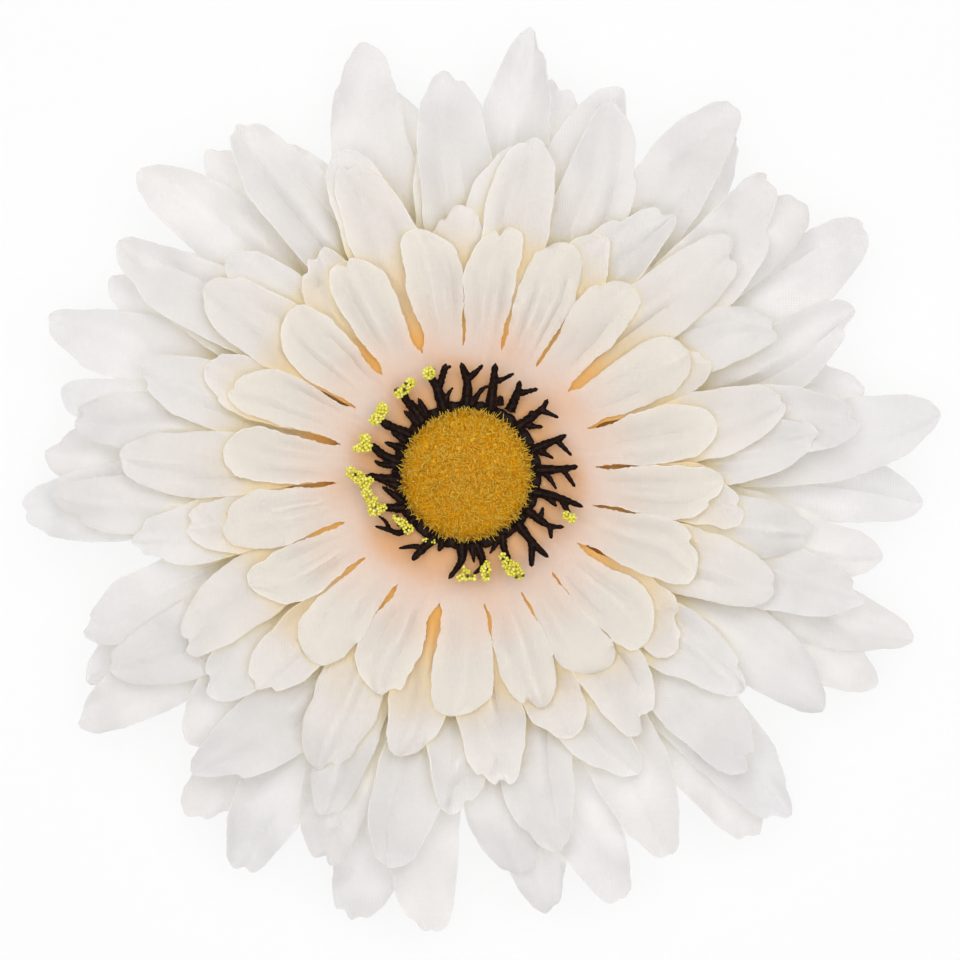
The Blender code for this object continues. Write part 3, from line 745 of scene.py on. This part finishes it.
def cells(x, y):
    """Row and column of the height map's cells that hold some points."""
    column = np.clip(((x + MAP_HALF) / CELL).astype(int), 0, int(2 * MAP_HALF / CELL) - 1)
    row = np.clip(((y + MAP_HALF) / CELL).astype(int), 0, int(2 * MAP_HALF / CELL) - 1)
    return row, column


def stamp(height_map, points):
    """Raise the height map to a grid of points, filling in between them."""
    steps = 4
    for i in range(steps):
        for j in range(steps):
            a = i / steps
            b = j / steps
            spot = ((1 - a) * (1 - b) * points[:-1, :-1] + a * (1 - b) * points[1:, :-1]
                    + (1 - a) * b * points[:-1, 1:] + a * b * points[1:, 1:])
            row, column = cells(spot[..., 0].ravel(), spot[..., 1].ravel())
            np.maximum.at(height_map, (row, column), spot[..., 2].ravel())


def blurred(values, reach):
    """A grid's values, spread over some cells on every side."""
    width = 2 * reach + 1
    for _ in range(PAINTED_SHADE_BLURS):
        padded = np.pad(values, ((reach + 1, reach), (0, 0)), mode="edge")
        sums = np.cumsum(padded, axis=0)
        values = ((sums[width:] - sums[:-width]) / width).T
    return values


def cover_maps(strips_of_sheets):
    """For each sheet, how much of the ground at and round every place the sheets above it
    cover, from 0 to 1, which sets where that sheet gets warm painted shade."""
    middles = (np.arange(int(2 * MAP_HALF / CELL)) + 0.5) * CELL - MAP_HALF
    in_hub = np.hypot(middles[:, None], middles[None, :]) < SHEETS[0]["root"]
    heights = np.where(in_hub, 0.0, NOTHING)
    maps = [np.zeros_like(heights)]
    for strips in strips_of_sheets[:-1]:
        for points, _, _ in strips:
            stamp(heights, points)
        maps.append(blurred((heights > NOTHING).astype(float), PAINTED_SHADE_REACH))
    return maps


def widest(values):
    """Each value of a grid, or the highest of its neighbours."""
    padded = np.pad(values, 1, mode="edge")
    views = [padded[i:i + values.shape[0], j:j + values.shape[1]]
             for i in range(3) for j in range(3)]
    return np.max(views, axis=0)


def mean_of_neighbours(values):
    padded = np.pad(values, 1, mode="edge")
    return (padded[:-2, 1:-1] + padded[2:, 1:-1] + padded[1:-1, :-2] + padded[1:-1, 2:]) / 4


def settle(points, height_map):
    """Lift a petal's rows smoothly to where they clear everything below."""
    below = widest(height_map)[cells(points[..., 0], points[..., 1])]
    need = np.maximum(0.0, below + CLEARANCE - points[..., 2])
    need[0] = 0.0
    if need.max() <= 0.0:
        return
    lift = widest(need)
    for _ in range(SETTLE_ROUNDS):
        lift = np.maximum(need, mean_of_neighbours(lift))
        lift[0] = 0.0
    points[..., 2] += lift


def cut_area(sheet):
    """Area of a sheet's flat cut, in square millimetres: its hub and all its petals."""
    shares = np.linspace(0.0, 1.0, 400)
    mean_share = float(np.mean(width_share(sheet, shares)))
    petals = 0.0
    for root_angle, tip, width in zip(petal_roots(sheet), sheet["tips"], sheet["widths"]):
        length = (polar(tip[1], tip[0]) - polar(sheet["root"], root_angle)).length
        petals += length * width * mean_share
    return math.pi * (sheet["root"] ** 2 - HOLE_RADIUS ** 2) + petals


def settle_sheet(strips, height_map):
    """Lift a sheet's petals clear of the sheets below, and of each other where they cross."""
    own_map = np.full_like(height_map, NOTHING)
    for points, _, _ in strips:
        settle(points, np.maximum(height_map, own_map))
        stamp(own_map, points[SHARED_ROWS:])
    np.maximum(height_map, own_map, out=height_map)


class Cut:
    """A sheet's points as they are added: in place, in the flat cloth, and their tone."""

    def __init__(self):
        self.vertices = []
        self.cloth = []
        self.tones = []
        self.faces = []

    def add(self, points, flats, tone=0.5):
        start = len(self.vertices)
        self.vertices.extend(map(tuple, points))
        self.cloth.extend(map(tuple, flats))
        self.tones.extend([tone] * len(points))
        return list(range(start, start + len(points)))


def add_roots(cut, strips):
    """The ring where the petals leave the hub: each petal's root, then the slot beside it.
    Gives the roots' points, all the ring's points, and the ring's angles and relief."""
    rows = []
    ring = []
    angles = []
    relief = []
    for number, (points, flat, root_relief) in enumerate(strips):
        following, _, next_relief = strips[(number + 1) % len(strips)]
        rows.append(cut.add(points[0], flat[0]))
        ring += rows[-1]
        angles += list(np.arctan2(points[0][:, 1], points[0][:, 0]))
        relief += list(root_relief)
        start = np.array(points[0][-1])
        end = np.array(following[0][0])
        inwards = -(start + end)[:2] / max(np.hypot(*(start + end)[:2]), 1e-6)
        depth = min(float(np.hypot(*(end - start)[:2])) / 2, SLOT_DEPTH)
        for k in range(1, SLOT_POINTS + 1):
            share = k / (SLOT_POINTS + 1)
            spot = start + (end - start) * share
            spot[:2] += inwards * depth * math.sin(math.pi * share)
            ring += cut.add([spot], [spot[:2]])
            angles.append(math.atan2(spot[1], spot[0]))
            relief.append(root_relief[-1] * (1 - share) + next_relief[0] * share)
    return rows, ring, np.array(angles), np.array(relief)


def add_hub(cut, index, ring, angles, relief):
    """The hub, ring by ring from the petals' roots in to the hole."""
    sheet = SHEETS[index]
    outer = ring
    for radius in reversed(HUB_RADII):
        fade = float(smooth_step((radius - RELIEF_START) / (sheet["root"] - RELIEF_START)))
        level = float(sheet_z(sheet, index, radius))
        spots = np.stack((radius * np.cos(angles), radius * np.sin(angles),
                          level + relief * fade), axis=-1)
        inner = cut.add(spots, spots[:, :2])
        cut.faces.extend(band(outer, inner))
        outer = inner


def add_petals(cut, rng, strips, rows):
    """The petals' rows beyond their roots, each petal in a tone of its own."""
    for (points, flat, _), row in zip(strips, rows):
        tone = rng.random()
        for r in range(1, PETAL_ROWS + 1):
            following = cut.add(points[r], flat[r], tone)
            for k in range(PETAL_COLUMNS):
                cut.faces.append((row[k], following[k], following[k + 1], row[k + 1]))
            row = following


def build_petal_sheet(index, strips, cover, height_map):
    """One die-cut sheet of cloth: hub and petals in a single surface, then its thickness."""
    rng = random.Random(SHEET_SEED + index)
    name = f"petal_sheet_{index + 1}"
    settle_sheet(strips, height_map)
    cut = Cut()
    rows, ring, angles, relief = add_roots(cut, strips)
    add_hub(cut, index, ring, angles, relief)
    add_petals(cut, rng, strips, rows)
    mesh = make_mesh(name + "_cloth", cut.vertices, cut.faces)
    cloth = np.array(cut.cloth)
    x, y, _ = np.array(cut.vertices).T
    unevenness = DYE_UNEVENNESS * waves(rng, x, y, DYE_WAVE)
    add_attribute(mesh, "reach", np.hypot(*cloth.T) + unevenness)
    # how much the sheets above cover each point, which sets the painted shade
    add_attribute(mesh, "covered", cover[cells(x, y)])
    add_attribute(mesh, "tone", cut.tones)
    layer = mesh.uv_layers.new(name="cloth")
    corners = np.zeros(len(mesh.loops), np.int32)
    mesh.loops.foreach_get("vertex_index", corners)
    layer.uv.foreach_set("vector", (cloth[corners] * MM).astype(np.float32).ravel())
    piece = make_piece(name + "_cloth", mesh, petal_material(index), name)
    turn_faces_out(mesh)
    solidify = piece.modifiers.new("thickness", "SOLIDIFY")
    solidify.thickness = CLOTH_THICKNESS * MM
    solidify.offset = 0.0
    cut_edge = piece.modifiers.new("cut_edge", "EDGE_SPLIT")
    cut_edge.split_angle = math.radians(50.0)
    return piece


def build_petals():
    """All the sheets from the lowest up, each laid clear of those below it."""
    strips_of_sheets = []
    for index, sheet in enumerate(SHEETS):
        rng = random.Random(STRIP_SEED + index)
        strips_of_sheets.append([petal_strip(rng, sheet, index, number)
                                 for number in range(len(sheet["tips"]))])
    covers = cover_maps(strips_of_sheets)
    height_map = np.full_like(covers[0], NOTHING)
    for index in reversed(range(len(SHEETS))):
        sheet = SHEETS[index]
        piece = build_petal_sheet(index, strips_of_sheets[index], covers[index], height_map)
        across = 2 * max(radius for _, radius in sheet["tips"]) * MM
        cut_area(sheet) * MM * MM


# --- centre ---

def dome_point(height_share, degrees):
    """A point of the button's surface, from the rim at 0 to the top at 1, with its normal."""
    spring = CENTRE_FLOOR_Z + BUTTON_WALL
    lift = math.asin(height_share)
    radius = BUTTON_RADIUS * math.cos(lift)
    z = spring + BUTTON_DOME * math.sin(lift)
    normal = polar(math.cos(lift) / BUTTON_RADIUS, degrees, math.sin(lift) / BUTTON_DOME)
    return polar(radius, degrees, z), normal.normalized()


def build_flock():
    """Thousands of short bent fibres standing on the button."""
    rng = random.Random(FLOCK_SEED)
    vertices = []
    faces = []
    tone = []
    along = []
    for number in range(FIBRES):
        degrees = (number * GOLDEN_ANGLE) % 360.0
        spot, normal = dome_point(math.sqrt(1.0 - (number + rng.random()) / FIBRES), degrees)
        if rng.random() < WALL_FIBRES:
            spot, normal = dome_point(0.05, degrees)
            spot.z -= rng.random() * BUTTON_WALL
            spot += polar(0.05, degrees)
        lean = (normal + any_heading(rng) * FIBRE_LEAN).normalized()
        lean -= normal * min(0.0, 2.0 * lean.dot(normal))
        bend = (lean + any_heading(rng) * FIBRE_BEND).normalized()
        length = FIBRE_LENGTH * rng.uniform(0.65, 1.25)
        side = lean.orthogonal().normalized()
        other = lean.cross(side)
        # shade is how strongly a fibre carries the painted highlight; those few are also raised,
        # longer and thicker so that they stand out.
        shade = rng.random() ** 3 if rng.random() < PLAIN_FIBRES else rng.uniform(0.7, 1.0)
        length *= 1.0 + 0.2 * shade
        spot += normal * (0.4 * shade)
        girth = FIBRE_RADIUS * rng.uniform(0.75, 1.2) * (1.0 + 0.45 * shade)
        mid = spot + lean * length * 0.55
        tip = mid + bend * length * 0.45
        start = len(vertices)
        for centre, size in ((spot, girth), (mid, girth * 0.9), (tip, girth * 0.55)):
            for k in range(FIBRE_SIDES):
                angle = math.tau * k / FIBRE_SIDES
                vertices.append(centre + (side * math.cos(angle) + other * math.sin(angle)) * size)
        rings = [range(start + level * FIBRE_SIDES, start + (level + 1) * FIBRE_SIDES)
                 for level in range(3)]
        faces += [*skin(rings), tuple(reversed(rings[0])), tuple(rings[-1])]
        tone += [shade] * 3 * FIBRE_SIDES
        along += [0.0] * FIBRE_SIDES + [0.65] * FIBRE_SIDES + [1.0] * FIBRE_SIDES
    mesh = make_mesh("flock_fibres", vertices, faces)
    add_attribute(mesh, "tone", tone)
    add_attribute(mesh, "along", along)
    make_piece("flock_fibres", mesh, flock_material(), "flock_coat")


def stamen_height(radius):
    rise = STAMEN_SLOPE * max(0.0, radius - COLLAR_OUTER)
    return CENTRE_FLOOR_Z + STAMEN_LIFT + rise


def smooth_course(knots, pieces=8):
    """Points on a smooth curve through a list of vectors."""
    ends = [knots[0] * 2 - knots[1], *knots, knots[-1] * 2 - knots[-2]]
    course = []
    for a, b, c, d in zip(ends, ends[1:], ends[2:], ends[3:]):
        for i in range(pieces):
            u = i / pieces
            course.append(0.5 * (2 * b + (c - a) * u + (2 * a - 5 * b + 4 * c - d) * u ** 2
                                 + (3 * b - a - 3 * c + d) * u ** 3))
    course.append(knots[-1])
    return course


def add_tube(bm, course, radii, sides=10):
    """A closed tube along a course, with rounded ends."""
    rings = []
    for i, centre in enumerate(course):
        ahead = course[min(i + 1, len(course) - 1)] - course[max(i - 1, 0)]
        side = ahead.cross(Vector((0, 0, 1))).normalized()
        up = side.cross(ahead).normalized()
        ring = []
        for k in range(sides):
            angle = math.tau * k / sides
            ridge = 1.0 + RIDGE_SHARE * math.cos(angle * RIDGES)
            flat = up * math.sin(angle) * STRAND_FLATNESS
            offset = (side * math.cos(angle) + flat) * ridge
            ring.append(bm.verts.new(centre + offset * radii[i]))
        rings.append(ring)
    for corners in skin(rings):
        bm.faces.new(corners)
    bm.faces.new(rings[0])
    bm.faces.new(rings[-1])


def strand_radius(start, end, share):
    """Half width of a strand, tapering and then rounding off at its very end."""
    taper = start + (end - start) * share
    close = 1.0 - max(0.0, (share - 0.9) / 0.1) ** 2 * 0.75
    return taper / 2 * close


def strand_course(knots, lift):
    """A strand's middle line, lifted more and more towards its tip."""
    start = knots[0][1]
    run = knots[-1][1] - start + 1e-6
    points = []
    for degrees, radius in knots:
        if (degrees, radius) == knots[0] and radius < TRUNK_START:
            radius = min(radius, TRUNK_FOOT)
        share = (radius - start) / run
        z = stamen_height(radius) + STRAND_RISE + lift * share
        points.append(polar(radius, degrees, z))
    return smooth_course(points)


def add_strand(bm, rng, knots, start, end):
    """A strand with uneven sides, thicker at its foot the nearer it starts to the axis."""
    course = strand_course(knots, rng.uniform(*STRAND_LIFT))
    radii = []
    for i in range(len(course)):
        radius = STRAND_SCALE * strand_radius(start, end, i / (len(course) - 1))
        uneven = rng.uniform(-STRAND_UNEVENNESS, STRAND_UNEVENNESS)
        flare = FOOT_FLARE * math.exp((FLARE_RADIUS - knots[0][1]) - i * FLARE_FADE)
        radii.append(radius * (1 + uneven + flare))
    tail = (course[-1] - course[-2]).normalized() * radii[-1]
    add_tube(bm, course + [course[-1] + tail], radii + [radii[-1] * 0.45])


def add_collar(bm):
    """The ring that the stamens grow from."""
    rings = []
    for radius, z in COLLAR_PROFILE:
        ring = []
        for i in range(COLLAR_SIDES):
            degrees = 360.0 * i / COLLAR_SIDES
            turn = math.radians(degrees) * COLLAR_WAVES + math.sin(degrees)
            reach = radius + COLLAR_WOBBLE * math.sin(turn)
            ring.append(bm.verts.new(polar(reach, degrees, CENTRE_FLOOR_Z + z)))
        rings.append(ring)
    for corners in skin(rings + rings[:1]):
        bm.faces.new(corners)


def build_stamens():
    """The glossy dark collar and its forked, barbed stamens, fused in one moulding."""
    rng = random.Random(STAMEN_SEED)
    bm = bmesh.new()
    add_collar(bm)
    for *knots, start, end in STRANDS:
        add_strand(bm, rng, knots, start, end)
    bmesh.ops.scale(bm, vec=(MM,) * 3, verts=bm.verts)
    bmesh.ops.recalc_face_normals(bm, faces=bm.faces)
    mesh = bpy.data.meshes.new("stamen_moulding")
    bm.to_mesh(mesh)
    bm.free()
    piece = make_piece("stamen_moulding", mesh, stamen_material(),
                       "stamen_collar")
    remesh = piece.modifiers.new("fuse", "REMESH")
    remesh.mode = "VOXEL"
    remesh.voxel_size = MOULD_VOXEL * MM
    remesh.use_smooth_shade = True


def clump_lobes(chain):
    """A clump's lobes as (centre, radius), each resting on the stamens."""
    lobes = []
    for degrees, radius, size in chain:
        z = stamen_height(radius) + 0.35 + size * 0.45
        lobes.append((polar(radius, degrees, z), size * CLUMP_SCALE))
    links = []
    for (a, size_a), (b, size_b) in zip(lobes, lobes[1:]):
        links.append(((a + b) / 2, (size_a + size_b) / 2 * 0.92))
    return lobes + links


def build_pollen():
    """Clumps of granules glued on the stamens' tips, each granule a small ball."""
    ball = bmesh.new()
    bmesh.ops.create_icosphere(ball, subdivisions=2, radius=1.0)
    ball_points = np.array([tuple(v.co) for v in ball.verts])
    ball_faces = [tuple(v.index for v in f.verts) for f in ball.faces]
    ball.free()
    material = pollen_material()
    for number, chain in enumerate(POLLEN):
        rng = random.Random(POLLEN_SEED + number)
        lobes = clump_lobes(chain)
        placed = []
        for _ in range(GRANULE_TRIES):
            centre, size = rng.choice(lobes)
            heading = any_heading(rng).normalized()
            grain = GRANULE_RADIUS * rng.uniform(0.8, 1.15)
            shell = max(0.05, size - grain) * rng.uniform(0.88, 1.05)
            spot = centre + heading * shell
            buried = any((spot - other).length < reach - grain * 1.6
                         for other, reach in lobes)
            crowded = any((spot - other).length <= (grain + girth) * GRANULE_CLOSENESS
                          for other, girth in placed)
            if not buried and not crowded:
                placed.append((spot, grain))
        vertices = []
        faces = []
        tone = []
        for spot, grain in placed:
            start = len(vertices)
            squash = np.array([rng.uniform(0.88, 1.1) for _ in range(3)])
            vertices.extend(ball_points * grain * squash + np.array(spot))
            faces.extend(tuple(i + start for i in face) for face in ball_faces)
            tone += [rng.random()] * len(ball_points)
        name = f"pollen_granules_{number + 1:02d}"
        mesh = make_mesh(name, vertices, faces)
        add_attribute(mesh, "tone", tone)
        make_piece(name, mesh, material, f"pollen_clump_{number + 1:02d}")


# --- calyx ---

def build_calyx():
    """The moulded cup behind the petals, with overlapping scales and a rim of sepals."""
    sides = SEPALS * 24
    body = ((0.0, 0.0, 0.0), (6.2, 0.0, 0.0), (6.7, 0.4, 0.0), (7.0, 1.2, 0.0),
            (7.6, 3.2, 0.0), (8.5, 6.0, 0.0), (9.5, 8.0, 0.06), (10.6, 9.4, 0.25),
            (11.2, 10.2, 0.8), (11.4, 10.6, 1.0), (11.3, 11.0, 1.0), (11.0, 11.3, 0.8),
            (10.0, CALYX_SEAT_Z, 0.25), (7.0, CALYX_SEAT_Z, 0.0),
            (HOLE_RADIUS, CALYX_SEAT_Z, 0.0), (HOLE_RADIUS, SOCKET_FLOOR_Z, 0.0),
            (0.0, SOCKET_FLOOR_Z, 0.0))
    knots = [Vector(p) for p in body[1:12]]
    outline = smooth_course(knots, 6)
    profile = [Vector(body[0]), *outline, *[Vector(p) for p in body[12:]]]
    vertices = []
    for radius, z, flare in profile:
        for i in range(sides):
            degrees = 360.0 * i / sides
            turn = (degrees / 360.0 * SEPALS) % 1.0
            point = 1.0 - abs(2 * turn - 1.0) ** 1.5
            reach = radius + flare * SEPAL_REACH * point
            if 0.4 < z < 11.2 and radius > 6.0:
                reach += scale_relief(degrees, z)
            vertices.append(tuple(polar(reach, degrees, z)))
    rings = [range(level * sides, (level + 1) * sides) for level in range(len(profile))]
    mesh = make_mesh("calyx_moulding", vertices, list(skin(rings)))
    turn_faces_out(mesh, merge=True)
    make_piece("calyx_moulding", mesh, calyx_material(), "calyx")


def scale_relief(degrees, z):
    """How far the overlapping pointed scales stand out of the cup at a place on it."""
    deepest = 0.0
    for row, (foot, head, stand) in enumerate(SCALE_ROWS):
        turn = (degrees / 360.0 * SEPALS + 0.5 * row) % 1.0
        across = abs(2 * turn - 1.0)
        share = (z - foot) / (head - foot)
        if not 0.0 <= share <= 1.0:
            continue
        half = 1.0 - share ** 2.2
        inside = min(1.0, max(0.0, (half - across) / 0.12))
        rib = 0.12 * math.exp(-(across / 0.12) ** 2)
        deepest = max(deepest, (stand * (0.35 + 0.65 * share) + rib) * inside)
    return deepest


# --- stage ---

def build_stage():
    """A plain white floor, white surroundings, soft light and the camera from above."""
    scene = bpy.context.scene
    scene.view_settings.view_transform = "Standard"
    scene.cycles.diffuse_bounces = LIGHT_BOUNCES
    scene.cycles.max_bounces = LIGHT_BOUNCES
    scene.cycles.use_light_tree = False
    half = FLOOR_HALF
    mesh = make_mesh("floor", [(-half, -half, 0), (half, -half, 0), (half, half, 0),
                               (-half, half, 0)], [(0, 1, 2, 3)])
    mesh.materials.append(floor_material())
    floor = put_in_scene("floor", mesh)

    world = bpy.data.worlds.new("soft_surroundings")
    scene.world = world
    world.use_nodes = True
    sky = Nodes(world.node_tree)
    background = sky.tree.nodes["Background"].inputs
    sky.feed(background["Color"], (1.0, 1.0, 1.0, 1.0))
    sky.feed(background["Strength"], sky.scaled(sky.seen(), 0.0, 1.0, WORLD_LEVEL, 1.0))

    for name, place, size, power in LAMPS:
        lamp = bpy.data.lights.new(name, "AREA")
        lamp.shape = "DISK"
        lamp.size = size * MM
        lamp.energy = power
        holder = put_in_scene(name, lamp)
        holder.location = Vector(place) * MM
        aim = Vector((0, 0, VIEW_HEIGHT * MM)) - holder.location
        holder.rotation_euler = aim.to_track_quat("-Z", "Y").to_euler()

    data = bpy.data.cameras.new("camera")
    data.sensor_width = SENSOR
    data.lens = SENSOR * CAMERA_DISTANCE / VIEW_WIDTH
    data.clip_start = 0.01
    data.clip_end = 10.0
    camera = put_in_scene("camera", data)
    camera.location = Vector((*VIEW_CENTRE, VIEW_HEIGHT + CAMERA_DISTANCE)) * MM
    scene.camera = camera


def floor_material():
    """White card. It shows white to the camera, and keeps a little of the shadow."""
    s = Shading("white_card")
    grain = s.noise(0.8, 3.0)
    s.set(Base_Color=s.mixed(grain, srgb(236, 236, 236), srgb(242, 242, 242)),
          Roughness=0.8)
    away = s.node("VectorMath", {0: s.place()}, operation="LENGTH").outputs["Value"]
    share = s.scaled(away, GLOW_NEAR, GLOW_FAR, FLOOR_GLOW, 1.0)
    s.mix_in(s.math("MULTIPLY", s.seen(), share), "Emission",
             {"Color": (1.0, 1.0, 1.0, 1.0), "Strength": 1.0})
    return s.material


def finish_frame_nodes():
    """Better materials for the CAD nodes that stay: the button's moulding and the washers."""
    button = button_material()
    washer = washer_material()
    for name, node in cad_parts.items():
        if name == "centre_button":
            node.data.materials.clear()
            node.data.materials.append(button)
        elif name.startswith("washer"):
            node.data.materials.clear()
            node.data.materials.append(washer)


def main():
    build_calyx()
    build_petals()
    build_stamens()
    build_flock()
    build_pollen()
    finish_frame_nodes()
    build_stage()


main()
